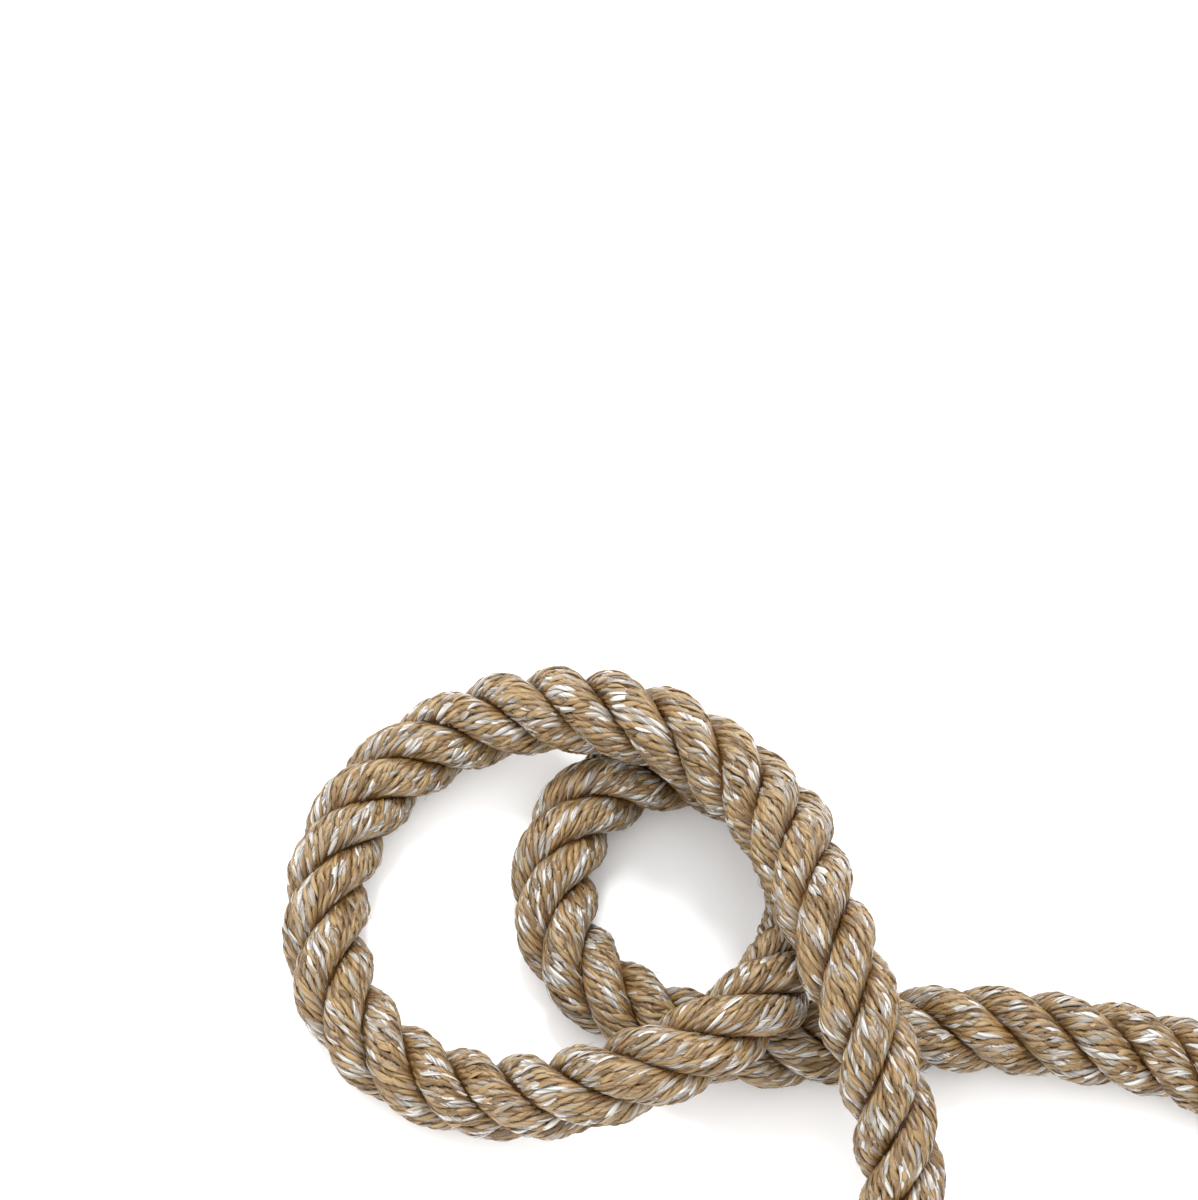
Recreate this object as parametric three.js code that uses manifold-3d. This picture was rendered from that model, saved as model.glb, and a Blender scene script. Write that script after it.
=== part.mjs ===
// A three-strand dock line at rest on a flat surface: a loose two-turn coil, with a whipped end on one side
// and, on the other, the rest of the line stowed in a tied hank with its spliced eye on top.
// Millimetres, +Z up. The origin is under the middle of the whole line, on the surface.

import * as THREE from 'three';
import Module from 'manifold-3d';
import { mergeVertices } from 'three/addons/utils/BufferGeometryUtils.js';

const wasm = await Module();
wasm.setup();

// Driving dimensions
const ROPE_D = 12;
const GAP = 0.3; // between pieces that touch
const FLOOR_Z = ROPE_D / 2 + 0.1; // centreline of rope that lies on the surface

// The hank: turns two wide and two high, with round ends
const FOLD_INNER_R = 3 * ROPE_D;
const TURN_PITCH = ROPE_D;
const HANK_HALF_RUN = 7.5 * ROPE_D;
const HANK_CENTRE_X = 69;
const HANK_OUTER_R = FOLD_INNER_R + TURN_PITCH + ROPE_D / 2;
const HANK_HOLE_R = FOLD_INNER_R - ROPE_D / 2;
const HANK_H = 2 * ROPE_D + GAP;

// Twine
const WHIPPING_T = 0.6;
const WHIPPING_L = 12;
const WHIPPING_CLEARANCE = 0.75;
const CURVED_WHIPPING_CLEARANCE = 1.2;
const TIE_T = 1.9;
const TIE_L = 12.4;

// The eye splice
const SPLICE_D = 1.33 * ROPE_D;
const SPLICE_Z = HANK_H + GAP + SPLICE_D / 2;
const TOP_Z = HANK_H + GAP + ROPE_D / 2;

// The bitter end, where each strand is melted to a blunt tip
const STRAND_R = 2.5;
const STRAND_PITCH_R = 3.2;
const STRAND_TIP_L = 5;

const TUBE_SIDES = 10;
const CURVE_DIVISIONS = 4000;

const rope = new THREE.MeshStandardMaterial({ color: 0xb99a6e, roughness: 0.6, metalness: 0 });
const splice = new THREE.MeshStandardMaterial({ color: 0xa98a60, roughness: 0.6, metalness: 0 });
const whippingTwine = new THREE.MeshStandardMaterial({ color: 0x3a2c20, roughness: 0.7, metalness: 0 });
const tieTwine = new THREE.MeshStandardMaterial({ color: 0xd8cdb4, roughness: 0.8, metalness: 0 });
const melted = new THREE.MeshStandardMaterial({ color: 0x6a4c2c, roughness: 0.35, metalness: 0 });

// The loose coil, from the bitter end to the hank. The height rises where the line crosses itself.
const coilRoute = [
  [-128.4, -46.5, 7.8], [-127.9, -40.2, 8], [-127.3, -33.8, 8.9],
  [-126.9, -24.9, 13.6], [-128.3, -16.4, 18.6], [-131.1, -7.6, 23.4],
  [-134.6, 1.4, 26.4], [-138.2, 11.4, 26.2], [-142.1, 21.7, 22.4],
  [-146.6, 29.5, 19.6], [-152.6, 35.6, 18.8], [-159.6, 40.1, 18.6],
  [-167.4, 43.3, 16.6], [-175.9, 45.5, 12.2], [-184.5, 45.2, 8.4],
  [-192.8, 42, 6.5], [-200, 35.9, FLOOR_Z], [-205, 27.6, FLOOR_Z],
  [-207, 17.6, FLOOR_Z], [-205.8, 7.4, FLOOR_Z], [-201, -1.2, FLOOR_Z],
  [-192.8, -7.3, 6.5], [-183.4, -10.5, 9], [-173.9, -11.4, 13.4],
  [-165.3, -10.3, 17.4], [-156.8, -7.3, 19.2], [-148.8, -2.2, 19.3],
  [-142.8, 5.6, 16], [-139.7, 15.4, 11.2], [-140, 25.2, 7.5],
  [-144.3, 33.2, 6.2], [-151.9, 38, FLOOR_Z], [-160.5, 38.8, FLOOR_Z],
  [-168.1, 35.5, FLOOR_Z], [-173.3, 28.8, FLOOR_Z], [-175, 20.2, FLOOR_Z],
  [-172.9, 11.8, FLOOR_Z], [-166.8, 4.9, FLOOR_Z], [-158, 0.2, FLOOR_Z],
  [-147.4, -1.9, FLOOR_Z], [-136.3, -1.5, FLOOR_Z], [-124.4, 0.1, FLOOR_Z],
  [-111.8, 0.1, FLOOR_Z], [-98.6, -1.8, FLOOR_Z], [-86.4, -4.8, FLOOR_Z],
  [-79.6, -8.4, FLOOR_Z],
];
const OUTER_TURN_FROM = 12;
const INNER_TURN_FROM = 27;
const STANDING_RUN_FROM = 40;

// Over the hank, from its centre: the last of the top turn with the splice, then the eye from the splice's
// throat back to it
const topRoute = [
  [60, -46, TOP_Z], [75, -45, TOP_Z], [90, -43, TOP_Z], [109, -38, TOP_Z],
  [125, -24, TOP_Z + 0.6], [132, -6, TOP_Z + 1.4], [130.5, 11, SPLICE_Z],
  [123, 26, SPLICE_Z], [110, 36.5, SPLICE_Z], [92, 41.5, SPLICE_Z],
  [74, 42, SPLICE_Z], [56, 41.5, SPLICE_Z],
];
const SPLICE_FROM = 6;
const eyeRoute = [
  [55, 47.8, TOP_Z], [38, 47, TOP_Z], [18, 45.5, TOP_Z],
  [-10, 44, TOP_Z], [-40, 43, TOP_Z], [-68, 42.5, TOP_Z],
  [-91, 41.5, TOP_Z], [-110, 36.5, TOP_Z], [-125, 23, TOP_Z],
  [-132, 3, TOP_Z], [-127, -18, TOP_Z], [-114, -33.5, TOP_Z],
  [-96, -40.5, TOP_Z], [-72, -41.5, TOP_Z], [-48, -40.5, TOP_Z],
  [-26, -35, TOP_Z], [-8, -23, TOP_Z - 0.5], [7, -6, TOP_Z - 1.4],
  [21, 12, TOP_Z - 0.9], [36, 26, TOP_Z], [55, 35.3, TOP_Z],
];

const line = new THREE.Group();

function addMesh(name, geometry, material) {
  const mesh = new THREE.Mesh(geometry, material);
  mesh.name = name;
  line.add(mesh);
  return mesh;
}

function curveThrough(points, shiftX = 0) {
  const curve = new THREE.CatmullRomCurve3(points.map(([x, y, z]) => new THREE.Vector3(x + shiftX, y, z)));
  curve.arcLengthDivisions = CURVE_DIVISIONS;
  return curve;
}

// Part of a curve, between two distances along it
class Stretch extends THREE.Curve {
  constructor(whole, from, to) {
    super();
    this.whole = whole;
    this.from = from / whole.getLength();
    this.to = Math.min(to / whole.getLength(), 1);
  }

  getPoint(t, target = new THREE.Vector3()) {
    return this.whole.getPointAt(THREE.MathUtils.lerp(this.from, this.to, t), target);
  }
}

// How far along a curve its control point of this number is
function distanceTo(curve, pointNumber) {
  const share = pointNumber / (curve.points.length - 1);
  return curve.getLengths()[Math.round(share * CURVE_DIVISIONS)];
}

function circleShape(radius, sides) {
  const corners = [];
  for (let k = 0; k < sides; k += 1) {
    const angle = (2 * Math.PI * k) / sides;
    corners.push(new THREE.Vector2(radius * Math.cos(angle), radius * Math.sin(angle)));
  }
  return new THREE.Shape(corners);
}

function tube(curve, diameter, steps) {
  return new THREE.ExtrudeGeometry(circleShape(diameter / 2, TUBE_SIDES), {
    steps,
    extrudePath: curve,
    bevelEnabled: false,
  });
}

// Puts a mesh made about the Y axis on a curve, along it
function placeOn(mesh, curve, share) {
  mesh.position.copy(curve.getPointAt(share));
  mesh.quaternion.setFromUnitVectors(new THREE.Vector3(0, 1, 0), curve.getTangentAt(share));
}

function ring(innerR, outerR, length) {
  const profile = [
    new THREE.Vector2(innerR, -length / 2),
    new THREE.Vector2(outerR, -length / 2),
    new THREE.Vector2(outerR, length / 2),
    new THREE.Vector2(innerR, length / 2),
    new THREE.Vector2(innerR, -length / 2),
  ];
  return new THREE.LatheGeometry(profile, 24);
}

// Loose coil: four stretches of one line
const coil = curveThrough(coilRoute);
const stretches = [
  ['tail_run', 0, OUTER_TURN_FROM, 14],
  ['outer_turn', OUTER_TURN_FROM, INNER_TURN_FROM, 16],
  ['inner_turn', INNER_TURN_FROM, STANDING_RUN_FROM, 15],
  ['standing_run', STANDING_RUN_FROM, coilRoute.length - 1, 6],
];
for (const [name, first, last, steps] of stretches) {
  const from = distanceTo(coil, first) + (first > 0 ? GAP : 0);
  const to = distanceTo(coil, last);
  addMesh(name, tube(new Stretch(coil, from, to), ROPE_D, steps), rope);
}

// Bitter end: a whipping, and the three melted strand ends beyond the tail's face
function whipping(name, clearance) {
  const innerR = ROPE_D / 2 + clearance;
  return addMesh(name, ring(innerR, innerR + WHIPPING_T, WHIPPING_L), whippingTwine);
}

const endWhipping = whipping('end_whipping', WHIPPING_CLEARANCE);
placeOn(endWhipping, coil, (WHIPPING_L / 2 + 0.6) / coil.getLength());

const tipProfile = [
  new THREE.Vector2(0, 0),
  new THREE.Vector2(STRAND_R, 0),
  new THREE.Vector2(STRAND_R, STRAND_TIP_L - 1.4),
  new THREE.Vector2(STRAND_R - 0.7, STRAND_TIP_L - 0.3),
  new THREE.Vector2(0, STRAND_TIP_L),
];
const endPoint = coil.getPointAt(0);
const outward = coil.getTangentAt(0).negate();
const sideways = new THREE.Vector3(0, 0, 1).cross(outward).normalize();
const upward = outward.clone().cross(sideways);
for (let k = 0; k < 3; k += 1) {
  const angle = (2 * Math.PI * k) / 3 + Math.PI / 2;
  const tip = addMesh(`melted_strand_end_${k + 1}`, new THREE.LatheGeometry(tipProfile, 12), melted);
  tip.position
    .copy(endPoint)
    .addScaledVector(outward, GAP)
    .addScaledVector(sideways, STRAND_PITCH_R * Math.cos(angle))
    .addScaledVector(upward, STRAND_PITCH_R * Math.sin(angle));
  tip.quaternion.setFromUnitVectors(new THREE.Vector3(0, 1, 0), outward);
}

// Hank: a ring with round ends, cut in where the ties bind each leg
function racetrack(halfRun, radius) {
  const path = new THREE.Shape();
  path.moveTo(-halfRun, -radius);
  path.lineTo(halfRun, -radius);
  path.absarc(halfRun, 0, radius, -Math.PI / 2, Math.PI / 2, false);
  path.lineTo(-halfRun, radius);
  path.absarc(-halfRun, 0, radius, Math.PI / 2, (3 * Math.PI) / 2, false);
  return path;
}

function toManifold(geometry) {
  const bare = geometry.index ? geometry.toNonIndexed() : geometry.clone();
  bare.deleteAttribute('normal');
  bare.deleteAttribute('uv');
  const merged = mergeVertices(bare, 1e-4);
  return new wasm.Manifold(new wasm.Mesh({
    numProp: 3,
    vertProperties: new Float32Array(merged.attributes.position.array),
    triVerts: new Uint32Array(merged.index.array),
  }));
}

function fromManifold(solid) {
  const { vertProperties, triVerts } = solid.getMesh();
  const geometry = new THREE.BufferGeometry();
  geometry.setAttribute('position', new THREE.BufferAttribute(vertProperties, 3));
  geometry.setIndex(new THREE.BufferAttribute(triVerts, 1));
  return geometry;
}

const hankShape = racetrack(HANK_HALF_RUN, HANK_OUTER_R);
hankShape.holes.push(racetrack(HANK_HALF_RUN, HANK_HOLE_R));
const hankBlank = new THREE.ExtrudeGeometry(hankShape, {
  depth: HANK_H,
  bevelEnabled: false,
  curveSegments: 14,
});

const legW = HANK_OUTER_R - HANK_HOLE_R;
const legY = (HANK_OUTER_R + HANK_HOLE_R) / 2;
const waistW = legW - 2 * (TIE_T + GAP);
const waistH = HANK_H - 2 * (TIE_T + GAP);

function grooveTool(side) {
  const length = TIE_L + 2 * GAP;
  const around = new THREE.BoxGeometry(length, legW + 2, HANK_H + 2);
  const core = new THREE.BoxGeometry(length + 2, waistW, waistH);
  around.translate(0, side * legY, HANK_H / 2);
  core.translate(0, side * legY, HANK_H / 2);
  return toManifold(around).subtract(toManifold(core));
}

const hankSolid = toManifold(hankBlank).subtract(grooveTool(-1)).subtract(grooveTool(1));
addMesh('stowed_hank', fromManifold(hankSolid), rope).position.x = HANK_CENTRE_X;

// Ties: a flat band of twine turns in each groove, with a knot inside the hank
function roundedRectangle(width, height, corner) {
  const w = width / 2;
  const h = height / 2;
  const path = new THREE.Shape();
  path.moveTo(-w + corner, -h);
  path.lineTo(w - corner, -h);
  path.absarc(w - corner, -h + corner, corner, -Math.PI / 2, 0, false);
  path.lineTo(w, h - corner);
  path.absarc(w - corner, h - corner, corner, 0, Math.PI / 2, false);
  path.lineTo(-w + corner, h);
  path.absarc(-w + corner, h - corner, corner, Math.PI / 2, Math.PI, false);
  path.lineTo(-w, -h + corner);
  path.absarc(-w + corner, -h + corner, corner, Math.PI, (3 * Math.PI) / 2, false);
  return path;
}

function tieBand() {
  const band = roundedRectangle(legW, HANK_H, 2.2);
  band.holes.push(roundedRectangle(waistW + 2 * GAP, waistH + 2 * GAP, 0.4));
  const geometry = new THREE.ExtrudeGeometry(band, { depth: TIE_L, bevelEnabled: false, curveSegments: 4 });
  // The section is drawn in X and Y, so it is turned to stand across the leg
  geometry.translate(0, 0, -TIE_L / 2);
  geometry.rotateY(Math.PI / 2);
  geometry.rotateX(Math.PI / 2);
  return geometry;
}

const KNOT = { x: 4, y: 2.6, z: 3.4 };
for (const [where, side] of [['near', -1], ['far', 1]]) {
  addMesh(`hank_tie_${where}`, tieBand(), tieTwine)
    .position.set(HANK_CENTRE_X, side * legY, HANK_H / 2);
  const knot = addMesh(`tie_knot_${where}`, new THREE.SphereGeometry(1, 16, 10), tieTwine);
  knot.scale.set(KNOT.x, KNOT.y, KNOT.z);
  knot.position.set(HANK_CENTRE_X, side * (HANK_HOLE_R - KNOT.y - GAP), HANK_H - 7);
}

// The end of the top turn, the splice and the eye, on top of the hank
const top = curveThrough(topRoute, HANK_CENTRE_X);
const eye = curveThrough(eyeRoute, HANK_CENTRE_X);
const spliceFrom = distanceTo(top, SPLICE_FROM);
addMesh('hank_top_run', tube(new Stretch(top, 0, spliceFrom - GAP), ROPE_D, 9), rope);
addMesh('splice_body', tube(new Stretch(top, spliceFrom, top.getLength()), SPLICE_D, 9), splice);
addMesh('eye_loop', tube(eye, ROPE_D, 34), rope);

const spliceWhipping = whipping('splice_whipping', CURVED_WHIPPING_CLEARANCE);
placeOn(spliceWhipping, top, (spliceFrom - WHIPPING_L / 2 - 3) / top.getLength());

export default line;
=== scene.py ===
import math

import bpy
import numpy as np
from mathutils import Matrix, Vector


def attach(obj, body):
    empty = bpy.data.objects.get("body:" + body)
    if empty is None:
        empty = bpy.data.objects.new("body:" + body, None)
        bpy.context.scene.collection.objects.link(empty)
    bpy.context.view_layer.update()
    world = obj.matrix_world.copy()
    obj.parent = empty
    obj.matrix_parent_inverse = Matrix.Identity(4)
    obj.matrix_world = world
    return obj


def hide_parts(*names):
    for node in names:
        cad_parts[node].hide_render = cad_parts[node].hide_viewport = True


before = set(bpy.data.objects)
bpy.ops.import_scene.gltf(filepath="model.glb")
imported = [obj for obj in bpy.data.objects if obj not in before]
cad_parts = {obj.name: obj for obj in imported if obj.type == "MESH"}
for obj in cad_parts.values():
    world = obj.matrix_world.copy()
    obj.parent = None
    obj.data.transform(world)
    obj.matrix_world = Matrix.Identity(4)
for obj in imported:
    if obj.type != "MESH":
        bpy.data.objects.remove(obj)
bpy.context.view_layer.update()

# A three-strand dock line: a loose two-turn coil with a whipped end, and the rest of the line stowed in a
# tied hank with its spliced eye on top. Metres, in the CAD model's frame. Every yarn of every strand is a
# twisted tube of its own, with pointed slips of film over the yarns and loose filaments here and there.

SEED = 803
TAU = 2 * math.pi

# The rope. Sizes with _D are shares of its diameter.
ROPE_D = 0.012
LAY_D = 2.2  # length of one turn of a strand
STRAND_AT_D = 0.268  # from the rope's middle to a strand's
STRAND_DEEP_D = 0.232  # half of a strand, outwards
STRAND_WIDE_D = 0.28  # half of a strand, around the rope
YARNS = 18
YARN_DEEP_D = 0.045
YARN_OVERLAP = 1.36  # how much wider a yarn is than its share of the strand's girth
YARN_TURN = -2.10  # turns of the yarns in their strand for each turn of the strand in the rope
YARN_SEAT = 0.8  # how far a yarn's middle lies inside its strand's outline, in its own half depths
LEAF_PITCH_D = 0.50  # length of one turn of the film in its yarn
LEAF_PITCH_SPREAD = (0.8, 1.2)
FILLING_EVERY = 4  # the filling under the yarns takes one ring in so many
FINE_STEP_D = 0.038  # between rings in the loose coil
STOWED_STEP_D = 0.060  # between rings in the rest
STOWED_FROM_X = -0.070  # the loose coil ends here
SPLINE_STEP = 0.0002
FILM_PHASES = 50  # spread of the film pattern's starts, so that no two tubes look alike
CAP_TONE = 0.5

# Painted shade on a tube: darker down in its own groove, and on the side that faces into the strand
CROWN_LEAST = 0.30
CROWN_RANGE = 0.70
OUTER_LEAST = 0.45
OUTER_RANGE = 0.55
OUTER_SHIFT = 0.35
# The rope's grooves, which get painted shade, in shares of its radius: how far out they are deepest, and
# how far on they end
GROOVE_REACH = 0.45
GROOVE_SPAN = 0.47

# How a yarn strays from an even course: the distance between changes in rope diameters, and their size
YARN_ANGLE_WANDER = (1.1, 0.06)
YARN_SEAT_WANDER = (0.8, 0.006 * ROPE_D)
YARN_SIZE_WANDER = (1.5, 0.08)
YARN_TWIST_WANDER = (0.9, 1.5)
LOBE_WANDER = (0.6, 0.13)

# Slips of film over the yarns
LOOSE_SLIPS = 2900  # for each strand, before those that would face the rope's inside are left out
LOOSE_SLIP_STEPS = (6, 11)
STOWED_SLIPS = 5000
STOWED_SLIP_STEPS = (5, 8)
SLIPS_FROM = 4  # the first step along the strand where a slip may start
SLIPS_SHORT_OF = 12  # and how far before its end the last one may
SLIP_SLANT = 0.22  # radians round the strand beyond the yarns' own turn, at most, from end to end
SLIP_LEAST_COS = -0.1
SLIP_RISE_D = 0.020
SLIP_SUNK_D = 0.011
SLIP_WIDE_D = (0.030, 0.054)
SLIP_DEEP_D = 0.014
SLIP_TIP = 0.04  # where a slip starts on the half wave that shapes it
SLIP_SPREAD = 0.92  # and how much of the half wave it spans
SLIP_FULLNESS = 0.8  # below 1, a slip is wider towards its tips than the half wave

# Filaments that have come loose from the yarns
STRAYS_PER_STRAND = 1500
STRAY_STEPS = (6, 14)  # length, in steps along the strand
STRAYS_FROM = 20
STRAYS_SHORT_OF = 60
STRAY_FOOT_D = 0.01
STRAY_RISE_D = (0.02, 0.09)
STRAY_D = 0.00009  # metres
STRAY_TAPER = 0.5
STRAY_LEAST_COS = 0.1
STRAY_LEAST_Z = 0.001

# The eye splice: each strand's end is tucked under and over the strands of the rope's body
TUCK_LAY_D = 9.0  # left-handed, against the rope's own lay
TUCK_AT_D = 0.385
TUCK_SWING_D = 0.10
TUCK_DEEP_D = 0.20
TUCK_WIDE_D = 0.25
TUCK_TWIST_D = 1.8  # radians of the yarns' turn in a tucked strand, for each diameter along it
TUCK_PHASE = 0.6
TUCK_START_D = 0.9  # from the throat
TUCK_END = 0.007  # how far past the splice's end, under its whipping
TUCK_END_AT_D = 0.27
TUCK_WEAVE = 1.5  # waves over and under for each turn of a tuck past the body's strands
BODY_AT_D = 0.29
BODY_SWING_D = 0.05
BODY_THINNED = 0.1  # share by which the body's strands are drawn thinner in the splice
SPLICE_FADE_D = 0.5
THROAT_FADE_D = 1.2
TAPER_D = 2.8
TAPER_LEAST = 0.35
TAPER_RANGE = 0.65
BRIDGE_STEPS = 16

# Twine. Spacings, seats and lays are shares of its diameter.
WHIPPING_TWINE_D = 0.0010
WHIPPING_L = 0.012
WHIPPING_SPACING = 1.04
WHIPPING_SEAT = 0.35
WHIPPING_LAY = 2.2
WHIPPING_STEPS = 110  # for each turn
END_WRAP_FROM = 0.0006
SPLICE_WRAP_GAP = 0.003
TIE_TWINE_D = 0.0016
TIE_WRAPS = 7
TIE_SPACING = 1.03
TIE_SEAT = 0.42
TIE_LAY = 2.4
TIE_STEP = 0.00045
KNOT_STEP = 0.00035
TWINE_WANDER = (3, 0.4)  # the distance between changes, in lays, and their size in radians
ASKEW = np.array([0.31, 0.52, 0.79])  # a direction that no twine runs in
TARRED_COLOURS = ((0.006, 0.004, 0.003), (0.024, 0.016, 0.011), (0.065, 0.045, 0.031))
COTTON_COLOURS = ((0.29, 0.24, 0.17), (0.44, 0.39, 0.30), (0.57, 0.53, 0.45))

# What the ties do to the hank's turns
SQUEEZE = 0.14  # how far they draw the turns together
TIE_THINNED = 0.12  # share by which the strands under them are drawn thinner
TIE_SPARE = 0.001  # the turns stay fully drawn together this far past the tie
TIE_REACH = 0.022  # and lie at their own places again this far from its middle

# The knots
KNOT_CENTRE_Y = 0.0271
KNOT_CENTRE_Z = 0.0173
KNOT_HALF_SIZE = (0.0046, 0.0026, 0.0036)
# One half of a reef knot, in shares of its half width, depth and height; the other is its mirror image
REEF_HALF = [
    (-1.00, -0.55, -0.42), (-0.62, -0.15, -0.40), (-0.25, 0.52, -0.28), (0.15, 0.60, 0.02),
    (0.42, 0.10, 0.30), (0.58, -0.42, 0.44), (0.82, -0.30, 0.16), (0.78, 0.00, -0.16),
    (0.56, -0.36, -0.44), (0.36, 0.02, -0.34), (0.10, 0.52, 0.16), (-0.30, 0.46, 0.38),
    (-0.66, 0.02, 0.62), (-0.95, 0.20, 0.92),
]

# The melted bead on each strand's end
BEAD_R = 0.00275
BEAD_BOXINESS = 0.62  # 1 is round, less is squarer
BEAD_AT = 0.0018
BEAD_HALF_L = 0.0026
BEAD_POLE = 0.06  # radians cut off at each of its poles
BEAD_OVAL = 1.04

# Heights of the centreline
FLOOR_Z = 0.0061
LAYER_PITCH = 0.0121
TOP_Z = 0.0306
SPLICE_Z = 0.03258

# The hank, as the CAD model has it
HANK_X = 0.069
HANK_HALF_RUN = 0.090
COLUMN_INNER_R = 0.036
COLUMN_OUTER_R = 0.048
LEG_Y = 0.042
LEG_Z = 0.01215
TIE_L = 0.0124

# The loose coil, from the bitter end to the hank
COIL_ROUTE = [
    (-0.1284, -0.0465, 0.0078), (-0.1279, -0.0402, 0.0080), (-0.1273, -0.0338, 0.0089),
    (-0.1269, -0.0249, 0.0136), (-0.1283, -0.0164, 0.0186), (-0.1311, -0.0076, 0.0234),
    (-0.1346, 0.0014, 0.0264), (-0.1382, 0.0114, 0.0262), (-0.1421, 0.0217, 0.0224),
    (-0.1466, 0.0295, 0.0196), (-0.1526, 0.0356, 0.0188), (-0.1596, 0.0401, 0.0186),
    (-0.1674, 0.0433, 0.0166), (-0.1759, 0.0455, 0.0122), (-0.1845, 0.0452, 0.0084),
    (-0.1928, 0.0420, 0.0065), (-0.2000, 0.0359, FLOOR_Z), (-0.2050, 0.0276, FLOOR_Z),
    (-0.2070, 0.0176, FLOOR_Z), (-0.2058, 0.0074, FLOOR_Z), (-0.2010, -0.0012, FLOOR_Z),
    (-0.1928, -0.0073, 0.0065), (-0.1834, -0.0105, 0.0090), (-0.1739, -0.0114, 0.0134),
    (-0.1653, -0.0103, 0.0174), (-0.1568, -0.0073, 0.0192), (-0.1488, -0.0022, 0.0193),
    (-0.1428, 0.0056, 0.0160), (-0.1397, 0.0154, 0.0112), (-0.1400, 0.0252, 0.0075),
    (-0.1443, 0.0332, 0.0062), (-0.1519, 0.0380, FLOOR_Z), (-0.1605, 0.0388, FLOOR_Z),
    (-0.1681, 0.0355, FLOOR_Z), (-0.1733, 0.0288, FLOOR_Z), (-0.1750, 0.0202, FLOOR_Z),
    (-0.1729, 0.0118, FLOOR_Z), (-0.1668, 0.0049, FLOOR_Z), (-0.1580, 0.0002, FLOOR_Z),
    (-0.1474, -0.0019, FLOOR_Z), (-0.1363, -0.0015, FLOOR_Z), (-0.1244, 0.0001, FLOOR_Z),
    (-0.1118, 0.0001, FLOOR_Z), (-0.0986, -0.0018, FLOOR_Z), (-0.0864, -0.0048, FLOOR_Z),
    (-0.0796, -0.0084, FLOOR_Z),
]
HANK_ENTRY = [
    (-0.0705, -0.0165, FLOOR_Z), (-0.0620, -0.0280, FLOOR_Z), (-0.0500, -0.0385, FLOOR_Z),
    (-0.0360, -0.0455, FLOOR_Z),
]
# Over the hank, from its centre: the last of the top turn, the splice and the eye
TOP_ROUTE = [
    (0.0600, -0.0460, TOP_Z), (0.0750, -0.0450, TOP_Z), (0.0900, -0.0430, TOP_Z),
    (0.1090, -0.0380, TOP_Z), (0.1250, -0.0240, TOP_Z + 0.0006), (0.1320, -0.0060, TOP_Z + 0.0014),
    (0.1305, 0.0110, SPLICE_Z), (0.1230, 0.0260, SPLICE_Z), (0.1100, 0.0365, SPLICE_Z),
    (0.0920, 0.0415, SPLICE_Z), (0.0740, 0.0420, SPLICE_Z), (0.0580, 0.0440, SPLICE_Z - 0.0012),
]
SPLICE_POINT = 6  # the point of TOP_ROUTE where the splice begins
EYE_ROUTE = [
    (0.0380, 0.0470, TOP_Z), (0.0180, 0.0455, TOP_Z),
    (-0.0100, 0.0440, TOP_Z), (-0.0400, 0.0430, TOP_Z), (-0.0680, 0.0425, TOP_Z),
    (-0.0910, 0.0415, TOP_Z), (-0.1100, 0.0365, TOP_Z), (-0.1250, 0.0230, TOP_Z),
    (-0.1320, 0.0030, TOP_Z), (-0.1270, -0.0180, TOP_Z), (-0.1140, -0.0335, TOP_Z),
    (-0.0960, -0.0405, TOP_Z), (-0.0720, -0.0415, TOP_Z), (-0.0480, -0.0405, TOP_Z),
    (-0.0260, -0.0350, TOP_Z), (-0.0080, -0.0230, TOP_Z - 0.0005), (0.0070, -0.0060, TOP_Z - 0.0014),
    (0.0210, 0.0120, TOP_Z - 0.0009), (0.0360, 0.0260, TOP_Z), (0.0550, 0.0353, TOP_Z),
]


# ---------------------------------------------------------------- the centreline

def hank_turns():
    """Points of the hank's turns, from the near leg's left end round four times to the top run.
    Progress counts quarters of a turn: near leg, right fold, far leg, left fold."""
    near_leg_points, fold_points = 16, 14
    out_from, out_to = 9.0, 10.0
    in_from, in_to = 3.0, 3.6
    climb_from, climb_to = 6.03, 6.36
    last_climb_from, last_climb_to = 12.58, 12.84
    top_run_from = last_climb_to - 0.08
    points = []
    for quarter in range(13):
        steps = fold_points if quarter % 2 else near_leg_points
        for step in range(steps):
            progress = quarter + step / steps
            if progress > top_run_from:
                break
            inward = ease((progress - in_from) / (in_to - in_from))
            outward = ease((progress - out_from) / (out_to - out_from))
            radius = COLUMN_OUTER_R - (COLUMN_OUTER_R - COLUMN_INNER_R) * (inward - outward)
            layer = ease((progress - climb_from) / (climb_to - climb_from))
            height = FLOOR_Z + LAYER_PITCH * layer
            height += (TOP_Z - FLOOR_Z - LAYER_PITCH) * ease(
                (progress - last_climb_from) / (last_climb_to - last_climb_from))
            points.append((*on_racetrack(progress % 4, radius), height))
    return points


def on_racetrack(progress, radius):
    along = progress % 1
    run = HANK_HALF_RUN * (2 * along - 1)
    turn = math.pi * (along - 0.5)
    if progress < 1:
        return HANK_X + run, -radius
    if progress < 2:
        return HANK_X + HANK_HALF_RUN + radius * math.cos(turn), radius * math.sin(turn)
    if progress < 3:
        return HANK_X - run, radius
    return HANK_X - HANK_HALF_RUN - radius * math.cos(turn), -radius * math.sin(turn)


def smooth(share):
    """Eases a share between 0 and 1, so that it starts and ends level."""
    return share * share * (3 - 2 * share)


def ease(share):
    return smooth(min(max(share, 0.0), 1.0))


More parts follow.
